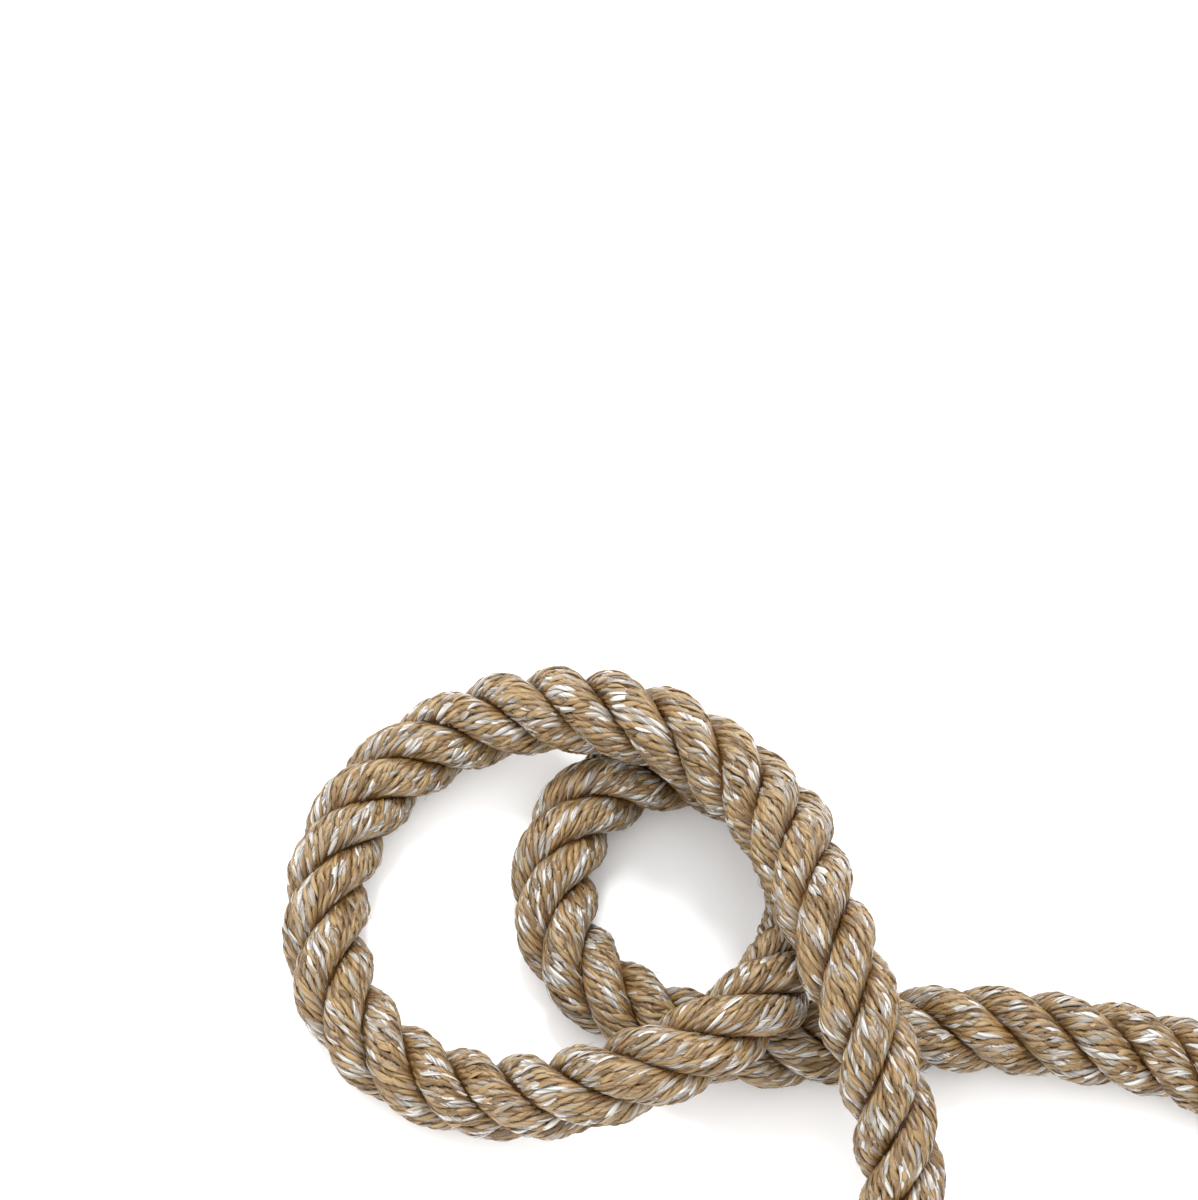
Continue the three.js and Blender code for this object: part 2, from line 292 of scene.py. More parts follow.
def spline_through(points, spacing):
    """A natural cubic spline through the points, as samples that far apart and the distance to each."""
    points = np.array(points, dtype=float)
    knots = np.concatenate([[0], np.cumsum(np.linalg.norm(np.diff(points, axis=0), axis=1))])
    gaps = np.diff(knots)
    count = len(points)
    system = np.eye(count)
    for i in range(1, count - 1):
        system[i, i - 1:i + 2] = gaps[i - 1], 2 * (gaps[i - 1] + gaps[i]), gaps[i]
    slopes = np.diff(points, axis=0) / gaps[:, None]
    right_side = np.zeros_like(points)
    right_side[1:-1] = 6 * np.diff(slopes, axis=0)
    bends = np.linalg.solve(system, right_side)

    at = np.arange(0, knots[-1], spacing)
    k = np.clip(np.searchsorted(knots, at, side="right") - 1, 0, count - 2)
    gap = gaps[k][:, None]
    after = at[:, None] - knots[k][:, None]
    before = gap - after
    samples = (
        bends[k] * before**3 / (6 * gap)
        + bends[k + 1] * after**3 / (6 * gap)
        + (points[k] / gap - bends[k] * gap / 6) * before
        + (points[k + 1] / gap - bends[k + 1] * gap / 6) * after
    )
    distances = np.concatenate([[0], np.cumsum(np.linalg.norm(np.diff(samples, axis=0), axis=1))])
    return samples, distances


def shifted(route):
    return [(x + HANK_X, y, z) for x, y, z in route]


def squeeze(points):
    """Draws the hank's turns together where the ties bind them, and says how far at each point."""
    bound_half = TIE_L / 2 + TIE_SPARE
    beside = np.abs(points[:, 0] - HANK_X)
    share = smooth(np.clip((TIE_REACH - beside) / (TIE_REACH - bound_half), 0, 1))
    share *= points[:, 2] < TOP_Z - ROPE_D / 2
    side = np.sign(points[:, 1])
    drawn = points.copy()
    drawn[:, 1] -= SQUEEZE * share * (points[:, 1] - side * LEG_Y)
    drawn[:, 2] -= SQUEEZE * share * (points[:, 2] - LEG_Z)
    return drawn, share


def unit(vectors):
    return vectors / np.linalg.norm(vectors, axis=-1, keepdims=True)


class Centreline:
    """The rope's middle line in even steps, with a frame that doesn't twist along it."""

    def __init__(self):
        route = COIL_ROUTE + HANK_ENTRY + hank_turns() + shifted(TOP_ROUTE) + shifted(EYE_ROUTE)
        samples, distances = spline_through(route, SPLINE_STEP)
        stowed_from = distances[np.argmax(samples[:, 0] > STOWED_FROM_X)]
        fine = np.arange(0, stowed_from, FINE_STEP_D * ROPE_D)
        stowed = np.arange(stowed_from, distances[-1], STOWED_STEP_D * ROPE_D)
        self.s = np.concatenate([fine, stowed])
        points = np.stack([np.interp(self.s, distances, samples[:, axis]) for axis in range(3)], axis=1)
        self.points, self.bound = squeeze(points)
        self.length = float(distances[-1])
        self.tangents = unit(np.gradient(self.points, self.s, axis=0))
        self.normals = self.carried_normals()
        self.sides = np.cross(self.tangents, self.normals)
        self.splice = self.distance_at(shifted(TOP_ROUTE)[SPLICE_POINT])
        self.throat = self.distance_at(shifted(TOP_ROUTE)[-1])

    def distance_at(self, place):
        return float(self.s[np.argmin(np.linalg.norm(self.points - np.array(place), axis=1))])

    def carried_normals(self):
        """Parallel transport, by the double reflection method."""
        normals = np.zeros_like(self.points)
        up = np.array([0.0, 0.0, 1.0])
        first = self.tangents[0]
        normals[0] = unit(up - first * (up @ first))
        for i in range(len(self.points) - 1):
            chord = self.points[i + 1] - self.points[i]
            square = chord @ chord
            flipped_normal = normals[i] - 2 / square * (chord @ normals[i]) * chord
            flipped_tangent = self.tangents[i] - 2 / square * (chord @ self.tangents[i]) * chord
            turn = self.tangents[i + 1] - flipped_tangent
            normals[i + 1] = flipped_normal - 2 / max(turn @ turn, 1e-18) * (turn @ flipped_normal) * turn
            normals[i + 1] = unit(normals[i + 1])
        return normals


# ---------------------------------------------------------------- yarns, strands and twine as meshes

SECTION_ANGLES = np.radians([-90, -50, 0, 50, 90, 130, 180, 230])  # two lobes, with a groove on each side
FILM_RADII = np.array([0.64, 0.91, 1.0, 0.91, 0.64, 0.91, 1.0, 0.91])
PLY_RADII = np.array([0.70, 0.95, 1.0, 0.95, 0.70, 0.95, 1.0, 0.95])
ROUND_RADII = np.ones(8)
RING = len(SECTION_ANGLES)


class TubeMesh:
    """Collects twisted two-lobed tubes, and makes one mesh of them."""

    def __init__(self):
        self.rings = []
        self.lifts = []
        self.crowns = []
        self.films = []
        self.tones = []
        self.counts = []

    def add(self, centres, outward, deep, wide, twist, lift, rng, radii=FILM_RADII, phase=0.0):
        """One tube. outward is the way its outer side faces, deep and wide its half sizes, twist its angle
        along it, and lift how far out of the rope's grooves it lies, from 0 to 1."""
        tangents = unit(np.gradient(centres, axis=0))
        normals = unit(outward - tangents * np.sum(outward * tangents, axis=1, keepdims=True))
        sides = np.cross(tangents, normals)
        angles = SECTION_ANGLES[None, :] + twist[:, None]
        cos, sin = np.cos(angles), np.sin(angles)
        radii = np.reshape(radii, (-1, RING))
        reach_out = radii * cos * np.reshape(deep, (-1, 1))
        reach_side = radii * sin * np.reshape(wide, (-1, 1))
        rings = (
            centres[:, None, :]
            + reach_out[:, :, None] * normals[:, None, :]
            + reach_side[:, :, None] * sides[:, None, :]
        )
        along = np.concatenate([[0], np.cumsum(np.linalg.norm(np.diff(centres, axis=0), axis=1))])
        film = np.empty((*rings.shape[:2], 3))
        film[:, :, 0] = along[:, None] / ROPE_D + phase
        film[:, :, 1] = np.cos(SECTION_ANGLES)[None, :] + phase
        film[:, :, 2] = np.sin(SECTION_ANGLES)[None, :] + phase
        # Painted shade: crown falls down in the tube's groove and on the side away from its outward
        # direction, and the materials darken the colour with it
        out_of_groove = np.clip((radii - FILM_RADII.min()) / (1 - FILM_RADII.min()), 0, 1)
        crown = CROWN_LEAST + CROWN_RANGE * out_of_groove
        crown = crown * (OUTER_LEAST + OUTER_RANGE * np.clip(cos + OUTER_SHIFT, 0, 1))

        # One tone for each stretch of film that shows, so a tone changes where its lobe is underneath
        middle = (twist[1:] + twist[:-1]) / 2
        tones = np.empty((len(centres) - 1, RING))
        half = RING // 2
        for lobe in range(2):
            leaf = np.floor((middle + lobe * math.pi + math.pi) / TAU).astype(int)
            leaf -= leaf.min()
            values = rng.random(leaf.max() + 1)
            tones[:, lobe * half:(lobe + 1) * half] = values[leaf][:, None]

        self.rings.append(rings)
        self.films.append(film)
        self.crowns.append(crown)
        self.lifts.append(np.repeat(np.reshape(lift, (-1, 1)), RING, axis=1))
        self.tones.append(tones)
        self.counts.append(len(centres))

    def build(self, name, material):
        """The mesh object, with its attributes and a bake map that lays the tubes side by side in rows."""
        starts = np.concatenate([[0], np.cumsum(self.counts)[:-1]]) * RING
        around = np.arange(RING)
        quads, caps = [], []
        for start, count in zip(starts, self.counts):
            here = start + np.arange(count - 1)[:, None] * RING + around[None, :]
            beside = start + np.arange(count - 1)[:, None] * RING + (around + 1)[None, :] % RING
            quads.append(np.stack([here, beside, beside + RING, here + RING], axis=2).reshape(-1, 4))
            caps.append(start + around[::-1])
            caps.append(start + (count - 1) * RING + around)
        quads = np.concatenate(quads)
        caps = np.array(caps)

        mesh = bpy.data.meshes.new(name)
        vertices = np.concatenate([rings.reshape(-1, 3) for rings in self.rings])
        mesh.vertices.add(len(vertices))
        mesh.vertices.foreach_set("co", vertices.ravel())
        corners = np.concatenate([quads.ravel(), caps.ravel()])
        mesh.loops.add(len(corners))
        mesh.loops.foreach_set("vertex_index", corners.astype(np.int32))
        faces = len(quads) + len(caps)
        mesh.polygons.add(faces)
        cap_starts = len(quads) * 4 + np.arange(len(caps)) * RING
        loop_starts = np.concatenate([np.arange(len(quads)) * 4, cap_starts])
        mesh.polygons.foreach_set("loop_start", loop_starts.astype(np.int32))
        mesh.update(calc_edges=True)
        mesh.shade_smooth()

        set_attribute(mesh, "lift", "FLOAT", "POINT", np.concatenate([a.ravel() for a in self.lifts]))
        set_attribute(mesh, "crown", "FLOAT", "POINT", np.concatenate([a.ravel() for a in self.crowns]))
        set_attribute(mesh, "film", "FLOAT_VECTOR", "POINT",
                      np.concatenate([a.reshape(-1) for a in self.films]))
        cap_tones = np.full(len(caps), CAP_TONE)
        set_attribute(mesh, "tone", "FLOAT", "FACE",
                      np.concatenate([a.ravel() for a in self.tones] + [cap_tones]))
        add_bake_map(mesh, len(quads) // RING, len(caps))

        obj = bpy.data.objects.new(name, mesh)
        bpy.context.scene.collection.objects.link(obj)
        mesh.materials.append(material)
        return obj


def set_attribute(mesh, name, kind, domain, values):
    layer = mesh.attributes.new(name, kind, domain)
    layer.data.foreach_set("vector" if kind == "FLOAT_VECTOR" else "value", values.astype(np.float32))


def add_bake_map(mesh, bands, caps):
    """Bands of quads in rows from left to right, each row a tube's girth high, then a row of caps."""
    margin = 0.06
    cap_share = 0.4
    stretch = 4.0  # a band is about this many times as high as it is long
    rows = max(1, math.ceil(math.sqrt(bands / stretch)))
    per_row = math.ceil(bands / rows)
    rows += 1
    band = np.repeat(np.arange(bands), RING)
    place = np.tile(np.arange(RING), bands)
    left = (band % per_row) / per_row
    low = band // per_row
    width = 1 / per_row
    v0 = (low + margin + place / RING * (1 - 2 * margin)) / rows
    v1 = (low + margin + (place + 1) / RING * (1 - 2 * margin)) / rows
    u = np.stack([left, left, left + width, left + width], axis=1)
    v = np.stack([v0, v1, v1, v0], axis=1)
    angles = TAU * np.arange(RING) / RING
    radius = cap_share * min(1 / max(caps, 1), 1 / rows)
    cap_u = ((np.arange(caps) + 0.5) / caps)[:, None] + radius * np.cos(angles)[None, :]
    cap_v = ((rows - 0.5) / rows) + radius * np.sin(angles)[None, :] + np.zeros((caps, 1))
    flat = np.concatenate([
        np.stack([u, v], axis=2).reshape(-1, 2),
        np.stack([cap_u, cap_v], axis=2).reshape(-1, 2),
    ])
    layer = mesh.uv_layers.new(name="OFBake")
    layer.data.foreach_set("uv", flat.astype(np.float32).ravel())


def wander(distance, wavelength, amount, rng):
    """Smooth random values along a distance, between minus and plus the amount."""
    steps = (distance - distance.min()) / wavelength
    values = rng.uniform(-amount, amount, int(steps.max()) + 3)
    k = steps.astype(int)
    share = smooth(steps - k)
    return values[k] * (1 - share) + values[k + 1] * share


def yarn_wander(s, kind, rng):
    between_d, amount = kind
    return wander(s, between_d * ROPE_D, amount, rng)


def lift_of(places, near):
    """How far out of the rope's grooves the places lie, from 0 to 1. near is on the rope's middle line."""
    reach = np.linalg.norm(places - near, axis=1) / (0.5 * ROPE_D)
    return np.clip((reach - GROOVE_REACH) / GROOVE_SPAN, 0, 1)


def lay_strand(tubes, course, rng):
    """The yarns of one strand round its filling. course holds the strand's middle line, the directions and
    half sizes of its section, and the yarns' turn in it."""
    s = course["s"]
    middles, outward, around = course["middles"], course["outward"], course["around"]
    deep, wide = course["deep"], course["wide"]
    full = deep / (STRAND_DEEP_D * ROPE_D)
    for yarn in range(YARNS):
        yarn_deep = YARN_DEEP_D * ROPE_D * full
        angle = course["yarn_angle"] + TAU * yarn / YARNS + yarn_wander(s, YARN_ANGLE_WANDER, rng)
        reach_out = deep - YARN_SEAT * yarn_deep + yarn_wander(s, YARN_SEAT_WANDER, rng)
        reach_side = wide - YARN_SEAT * yarn_deep
        centres = (
            middles
            + (reach_out * np.cos(angle))[:, None] * outward
            + (reach_side * np.sin(angle))[:, None] * around
        )
        faces = (reach_side * np.cos(angle))[:, None] * outward
        faces = faces + (reach_out * np.sin(angle))[:, None] * around
        spacing = np.hypot(reach_out * np.sin(angle), reach_side * np.cos(angle)) * TAU / YARNS
        size = 1 + yarn_wander(s, YARN_SIZE_WANDER, rng)
        half_wide = 0.5 * spacing * YARN_OVERLAP * size
        half_deep = yarn_deep * size
        pitch = LEAF_PITCH_D * ROPE_D * rng.uniform(*LEAF_PITCH_SPREAD)
        twist = TAU * s / pitch + rng.uniform(0, TAU) + yarn_wander(s, YARN_TWIST_WANDER, rng)
        lift = lift_of(centres, course["near"])
        lobes = [1 + yarn_wander(s, LOBE_WANDER, rng) for _ in range(2)]
        radii = FILM_RADII * np.repeat(np.stack(lobes, axis=1), RING // 2, axis=1)
        tubes.add(centres, faces, half_deep, half_wide, twist, lift, rng, radii,
                  phase=rng.uniform(0, FILM_PHASES))

    every = slice(None, None, FILLING_EVERY)
    filling = YARN_DEEP_D * ROPE_D * full[every]
    count = len(s[every])
    tubes.add(middles[every], outward[every], deep[every] - filling, wide[every] - filling, np.zeros(count),
              np.zeros(count), rng, radii=ROUND_RADII)


def lay_slips(tubes, course, first, last, count, steps, rng):
    """Pointed slips of film that lie over the yarns at a slant, between two of the course's points."""
    for start in rng.integers(first, last, count):
        span = slice(start, start + rng.integers(*steps))
        share = np.linspace(0, 1, span.stop - span.start)
        slant = rng.uniform(-SLIP_SLANT, SLIP_SLANT)
        angle = course["yarn_angle"][span] + rng.uniform(0, TAU) + slant * (share - 0.5)
        if np.cos(angle).mean() < SLIP_LEAST_COS:
            continue
        cos, sin = np.cos(angle)[:, None], np.sin(angle)[:, None]
        out, around = course["outward"][span], course["around"][span]
        deep, wide = course["deep"][span, None], course["wide"][span, None]
        faces = wide * cos * out + deep * sin * around
        belly = np.sin(math.pi * (SLIP_TIP + SLIP_SPREAD * share))
        rise = (SLIP_RISE_D * belly - SLIP_SUNK_D) * ROPE_D
        middles = course["middles"][span] + deep * cos * out + wide * sin * around
        middles = middles + rise[:, None] * unit(faces)
        half_wide = rng.uniform(*SLIP_WIDE_D) * ROPE_D * belly**SLIP_FULLNESS
        lift = lift_of(middles, course["near"][span])
        tubes.add(middles, faces, SLIP_DEEP_D * ROPE_D * belly, half_wide, np.zeros(len(share)), lift, rng,
                  phase=rng.uniform(0, FILM_PHASES))


# ---------------------------------------------------------------- materials

def new_material(name):
    material = bpy.data.materials.new(name)
    material.use_nodes = True
    nodes = material.node_tree.nodes
    nodes.clear()
    output = nodes.new("ShaderNodeOutputMaterial")
    shader = nodes.new("ShaderNodeBsdfPrincipled")
    material.node_tree.links.new(shader.outputs["BSDF"], output.inputs["Surface"])
    return material, material.node_tree, shader


def attribute(tree, name, output="Fac"):
    node = tree.nodes.new("ShaderNodeAttribute")
    node.attribute_name = name
    return node.outputs[output]


def noise(tree, vector, scale, detail=3.0, roughness=0.5):
    node = tree.nodes.new("ShaderNodeTexNoise")
    node.inputs["Scale"].default_value = scale
    node.inputs["Detail"].default_value = detail
    node.inputs["Roughness"].default_value = roughness
    tree.links.new(vector, node.inputs["Vector"])
    return node.outputs["Fac"]


def added(tree, value, other, factor, shift):
    """value + other * factor + shift"""
    scaled = tree.nodes.new("ShaderNodeMath")
    scaled.operation = "MULTIPLY_ADD"
    tree.links.new(other, scaled.inputs[0])
    scaled.inputs[1].default_value = factor
    scaled.inputs[2].default_value = shift
    total = tree.nodes.new("ShaderNodeMath")
    tree.links.new(value, total.inputs[0])
    tree.links.new(scaled.outputs["Value"], total.inputs[1])
    return total.outputs["Value"]


def stretched(tree, vector, factors):
    node = tree.nodes.new("ShaderNodeVectorMath")
    node.operation = "MULTIPLY"
    node.inputs[1].default_value = factors
    tree.links.new(vector, node.inputs[0])
    return node.outputs["Vector"]


def ramp(tree, value, stops):
    """stops are (position, colour) with linear colours or grey values."""
    node = tree.nodes.new("ShaderNodeValToRGB")
    node.color_ramp.interpolation = "LINEAR"
    elements = node.color_ramp.elements
    while len(elements) < len(stops):
        elements.new(0.5)
    for element, (position, colour) in zip(elements, stops):
        element.position = position
        if isinstance(colour, (int, float)):
            colour = (colour, colour, colour)
        element.color = (*colour, 1)
    tree.links.new(value, node.inputs["Fac"])
    return node.outputs["Color"]


def mix(tree, kind, factor, first, second):
    node = tree.nodes.new("ShaderNodeMix")
    node.data_type = "RGBA"
    node.blend_type = kind
    node.inputs["Factor"].default_value = factor if isinstance(factor, (int, float)) else 0.5
    if not isinstance(factor, (int, float)):
        tree.links.new(factor, node.inputs["Factor"])
    for socket, value in ((node.inputs[6], first), (node.inputs[7], second)):
        if isinstance(value, tuple):
            socket.default_value = (*value, 1)
        else:
            tree.links.new(value, socket)
    return node.outputs[2]


def bumped(tree, shader, height, strength, distance):
    bump = tree.nodes.new("ShaderNodeBump")
    bump.inputs["Strength"].default_value = strength
    bump.inputs["Distance"].default_value = distance
    tree.links.new(height, bump.inputs["Height"])
    tree.links.new(bump.outputs["Normal"], shader.inputs["Normal"])


def rope_material():
    """Tan and silver film yarns, streaked along the film with some painted highlight, and with painted
    shade in their own grooves, on their sides facing into the strand, and in the rope's grooves.
    """
    material, tree, shader = new_material("film_yarn")
    film = attribute(tree, "film", "Vector")
    tone = attribute(tree, "tone")
    patches = noise(tree, stretched(tree, film, (2.4, 1.5, 1.5)), 1.0, detail=2.0)
    place = tree.nodes.new("ShaderNodeTexCoord").outputs["Object"]
    regions = noise(tree, place, 160.0, detail=1.0)
    patch_weight, patch_shift = 1.3, -0.68
    region_weight, region_shift = 0.25, -0.135
    patchy = added(tree, tone, patches, patch_weight, patch_shift)
    silver = added(tree, patchy, regions, region_weight, region_shift)
    leaf = ramp(tree, silver, [
        (0.00, (0.110, 0.063, 0.023)),
        (0.14, (0.170, 0.102, 0.039)),
        (0.36, (0.248, 0.158, 0.064)),
        (0.60, (0.302, 0.206, 0.096)),
        (0.68, (0.180, 0.158, 0.137)),
        (0.79, (0.265, 0.248, 0.222)),
        (0.90, (0.370, 0.355, 0.332)),
        (1.00, (0.540, 0.530, 0.510)),
    ])
    # Streaks along the film: partly the film's own darker and lighter lines, partly painted highlight where
    # the light streaks lift the colour above the leaf's own
    streaks = noise(tree, stretched(tree, film, (3.0, 3.4, 3.4)), 1.0, detail=4.0, roughness=0.6)
    streaked_and_highlit = mix(tree, "MULTIPLY", 1.0, leaf, ramp(tree, streaks, [
        (0.34, (0.60, 0.54, 0.48)), (0.50, (0.98, 0.97, 0.96)), (0.68, (1.22, 1.22, 1.22)),
    ]))
    # Painted shade: darker down in each tube's groove and on its side facing into the strand
    crown = ramp(tree, attribute(tree, "crown"), [
        (0.10, (0.44, 0.31, 0.19)), (0.32, (0.82, 0.73, 0.62)), (0.52, 1.0),
    ])
    groove_shaded = mix(tree, "MULTIPLY", 1.0, streaked_and_highlit, crown)
    # Painted shade: darker where the yarns lie deep in the rope's grooves between its strands
    lift = ramp(tree, attribute(tree, "lift"), [
        (0.10, (0.36, 0.27, 0.18)), (0.50, (0.84, 0.77, 0.69)), (0.82, 1.0),
    ])
    colour = mix(tree, "MULTIPLY", 1.0, groove_shaded, lift)
    tree.links.new(colour, shader.inputs["Base Color"])
    tree.links.new(ramp(tree, streaks, [(0.36, 0.20), (0.64, 0.40)]), shader.inputs["Roughness"])
    shader.inputs["Specular IOR Level"].default_value = 0.5
    bumped(tree, shader, streaks, 0.6, 0.00016)
    return material


def twine_material(name, colours, roughness):
    dark, mid, light = colours
    material, tree, shader = new_material(name)
    film = attribute(tree, "film", "Vector")
    fibres = noise(tree, stretched(tree, film, (5.0, 6.0, 6.0)), 1.0, detail=5.0, roughness=0.65)
    colour = ramp(tree, fibres, [(0.32, dark), (0.52, mid), (0.72, light)])
    # Painted shade: darker down between the plies and on the side away from the twine's outward direction
    crown = ramp(tree, attribute(tree, "crown"), [(0.15, 0.35), (0.6, 0.95), (0.8, 1.0)])
    tree.links.new(mix(tree, "MULTIPLY", 1.0, colour, crown), shader.inputs["Base Color"])
    shader.inputs["Roughness"].default_value = roughness
    bumped(tree, shader, fibres, 0.5, 0.00015)
    return material


def melted_material():
    """Yarn ends melted to a dark bead, glossy where the melt ran and matt where it charred."""
    material, tree, shader = new_material("melted_yarn")
    place = tree.nodes.new("ShaderNodeTexCoord").outputs["Object"]
    char = noise(tree, place, 900.0, detail=5.0, roughness=0.6)
    colour = ramp(tree, char, [
        (0.35, (0.020, 0.011, 0.006)), (0.55, (0.075, 0.040, 0.018)), (0.75, (0.20, 0.125, 0.065)),
    ])
    tree.links.new(colour, shader.inputs["Base Color"])
    tree.links.new(ramp(tree, char, [(0.35, 0.22), (0.7, 0.6)]), shader.inputs["Roughness"])
    bumped(tree, shader, char, 0.4, 0.0002)
    return material


def floor_material():
    material, tree, shader = new_material("pale_floor")
    shader.inputs["Base Color"].default_value = (0.95, 0.95, 0.95, 1)
    shader.inputs["Roughness"].default_value = 0.9
    shader.inputs["Specular IOR Level"].default_value = 0.0
    return material


# ---------------------------------------------------------------- camera, floor and light

def make_camera():
    elevation = math.radians(69.5)
    distance = 1.4
    aim = Vector((-0.1687, 0.0643, 0.006))
    data = bpy.data.cameras.new("camera")
    data.lens = 296
    data.sensor_width = 36
    data.clip_start = 0.05
    data.clip_end = 20
    camera = bpy.data.objects.new("camera", data)
    camera.location = aim + distance * Vector((0, -math.cos(elevation), math.sin(elevation)))
    camera.rotation_euler = (math.pi / 2 - elevation, 0, 0)
    bpy.context.scene.collection.objects.link(camera)
    bpy.context.scene.camera = camera


def make_floor():
    half = 2.5
    mesh = bpy.data.meshes.new("floor")
    corners = [(-half, -half, 0), (half, -half, 0), (half, half, 0), (-half, half, 0)]
    mesh.from_pydata(corners, [], [(0, 1, 2, 3)])
    mesh.materials.append(floor_material())
    floor = bpy.data.objects.new("floor", mesh)
    bpy.context.scene.collection.objects.link(floor)


def make_light():
    world = bpy.data.worlds.new("soft_box")
    world.use_nodes = True
    background = world.node_tree.nodes["Background"]
    background.inputs["Color"].default_value = (1, 1, 1, 1)
    background.inputs["Strength"].default_value = 1.95
    bpy.context.scene.world = world
    key = bpy.data.lights.new("key", "AREA")
    key.shape = "DISK"
    key.size = 0.45
    key.energy = 20
    lamp = bpy.data.objects.new("key", key)
    lamp.location = (-0.15, 0.95, 1.5)
    lamp.rotation_euler = (-Vector(lamp.location)).to_track_quat("-Z", "Y").to_euler()
    bpy.context.scene.collection.objects.link(lamp)
    bpy.context.scene.view_settings.view_transform = "Standard"


# ---------------------------------------------------------------- the rope's strands

def share_of(values, start, stop):
    """0 before start, 1 after stop, and smooth between, for arrays."""
    return smooth(np.clip((values - start) / (stop - start), 0, 1))


def tuck_angles(line):
    """The angle of the first tucked strand round the rope's body, at each point of the line."""
    return TUCK_PHASE - TAU * (line.s - line.throat) / (TUCK_LAY_D * ROPE_D)


def body_angles(line):
    return TAU * line.s / (LAY_D * ROPE_D)


def main_course(line, k):
    """One strand along the whole line: its middle line, the directions of its section, and its sizes."""
    angle = body_angles(line) + TAU * k / 3
    outward = np.cos(angle)[:, None] * line.normals + np.sin(angle)[:, None] * line.sides
    scale = ROPE_D * (1 - TIE_THINNED * line.bound)
    fade = SPLICE_FADE_D * ROPE_D
    spliced = share_of(line.s, line.splice - fade, line.splice + fade)
    spliced *= 1 - share_of(line.s, line.throat, line.throat + THROAT_FADE_D * ROPE_D)
    swing = np.cos(TUCK_WEAVE * (angle - tuck_angles(line)) + math.pi * k)
    reach = STRAND_AT_D + spliced * (BODY_AT_D - STRAND_AT_D - BODY_SWING_D * swing)
    return {
        "near": line.points,
        "middles": line.points + (reach * scale)[:, None] * outward,
        "outward": outward,
        "deep": STRAND_DEEP_D * scale * (1 - BODY_THINNED * spliced),
        "wide": STRAND_WIDE_D * scale * (1 - BODY_THINNED * spliced),
        "yarn_angle": YARN_TURN * body_angles(line),
    }


def tuck_course(line, tuck):
    """One tucked strand, from just past the throat back along the body to the splice's end."""
    first = np.searchsorted(line.s, line.throat - TUCK_START_D * ROPE_D)
    last = np.searchsorted(line.s, line.splice - TUCK_END)
    step = slice(first, last, -1)
    angle = tuck_angles(line)[step] + TAU * tuck / 3
    swing = np.cos(TUCK_WEAVE * (body_angles(line)[step] - angle) + math.pi * tuck)
    outward = np.cos(angle)[:, None] * line.normals[step] + np.sin(angle)[:, None] * line.sides[step]
    left = line.s[step] - line.s[last]
    full = TAPER_LEAST + TAPER_RANGE * share_of(left, 0, TAPER_D * ROPE_D)
    reach = TUCK_END_AT_D + (TUCK_AT_D - TUCK_END_AT_D) * full + TUCK_SWING_D * swing * full
    points = line.points[step]
    return {
        "near": points,
        "middles": points + (reach * ROPE_D)[:, None] * outward,
        "outward": outward,
        "deep": TUCK_DEEP_D * ROPE_D * full,
        "wide": TUCK_WIDE_D * ROPE_D * full,
    }


def bridge(first, second, steps):
    """A smooth stretch from the end of one course to the start of another."""
    start, end = first["middles"][-1], second["middles"][0]
    reach = np.linalg.norm(end - start)
    leave = unit(first["middles"][-1] - first["middles"][-2]) * reach
    arrive = unit(second["middles"][1] - second["middles"][0]) * reach
    t = np.linspace(0, 1, steps + 2)[1:-1, None]
    blend = smooth(t)
    made = {"middles": (2 * t**3 - 3 * t**2 + 1) * start + (t**3 - 2 * t**2 + t) * leave
            + (3 * t**2 - 2 * t**3) * end + (t**3 - t**2) * arrive}
    made["outward"] = unit((1 - blend) * first["outward"][-1] + blend * second["outward"][0])
    for size in ("deep", "wide"):
        made[size] = (first[size][-1] + blend * (second[size][0] - first[size][-1]))[:, 0]
    made["near"] = (1 - blend) * first["near"][-1] + blend * second["near"][0]
    return made


def whole_course(line, k, tuck):
    """A strand from the bitter end to the end of its tuck in the splice."""
    main = main_course(line, k)
    tucked = tuck_course(line, tuck)
    join = bridge(main, tucked, BRIDGE_STEPS)
    course = {key: np.concatenate([main[key], join[key], tucked[key]])
              for key in ("near", "middles", "outward", "deep", "wide")}
    gaps = np.linalg.norm(np.diff(course["middles"], axis=0), axis=1)
    course["s"] = np.concatenate([[0], np.cumsum(gaps)])
    tangents = unit(np.gradient(course["middles"], axis=0))
    rope_tangents = unit(np.gradient(course["near"], axis=0) + 1e-9)
    count = len(main["middles"])
    rope_tangents[count - 1:] = tangents[count - 1:]
    slant = np.sum(course["outward"] * rope_tangents, axis=1, keepdims=True)
    course["outward"] = unit(course["outward"] - rope_tangents * slant)
    course["around"] = np.cross(rope_tangents, course["outward"])
    past = course["s"][count:] - course["s"][count - 1]
    end_angle = main["yarn_angle"][-1]
    course["yarn_angle"] = np.concatenate([main["yarn_angle"], end_angle - TUCK_TWIST_D * past / ROPE_D])
    return course


def tucks_by_strand(line):
    """Which tuck each strand of the eye's return goes into, so that the strands cross least."""
    ends = [main_course(line, k)["middles"][-1] for k in range(3)]
    starts = [tuck_course(line, tuck)["middles"][0] for tuck in range(3)]

    def total(order):
        return sum(np.linalg.norm(ends[k] - starts[order[k]]) for k in range(3))
    return min([(0, 1, 2), (1, 2, 0), (2, 0, 1)], key=total)


def make_strands(line, order, material):
    """The rope's three strands, one piece each, from the bitter end to the end of the splice."""
    strands = []
    stowed = int(np.argmax(line.points[:, 0] > STOWED_FROM_X))
    for k in range(3):
        rng = np.random.default_rng(SEED + k)
        course = whole_course(line, k, order[k])
        tubes = TubeMesh()
        lay_strand(tubes, course, rng)
        lay_slips(tubes, course, SLIPS_FROM, stowed, LOOSE_SLIPS, LOOSE_SLIP_STEPS, rng)
        last = len(course["s"]) - SLIPS_SHORT_OF
        lay_slips(tubes, course, stowed, last, STOWED_SLIPS, STOWED_SLIP_STEPS, rng)
        strand = tubes.build(f"strand_{k + 1}", material)
        strands.append(strand)
    return strands


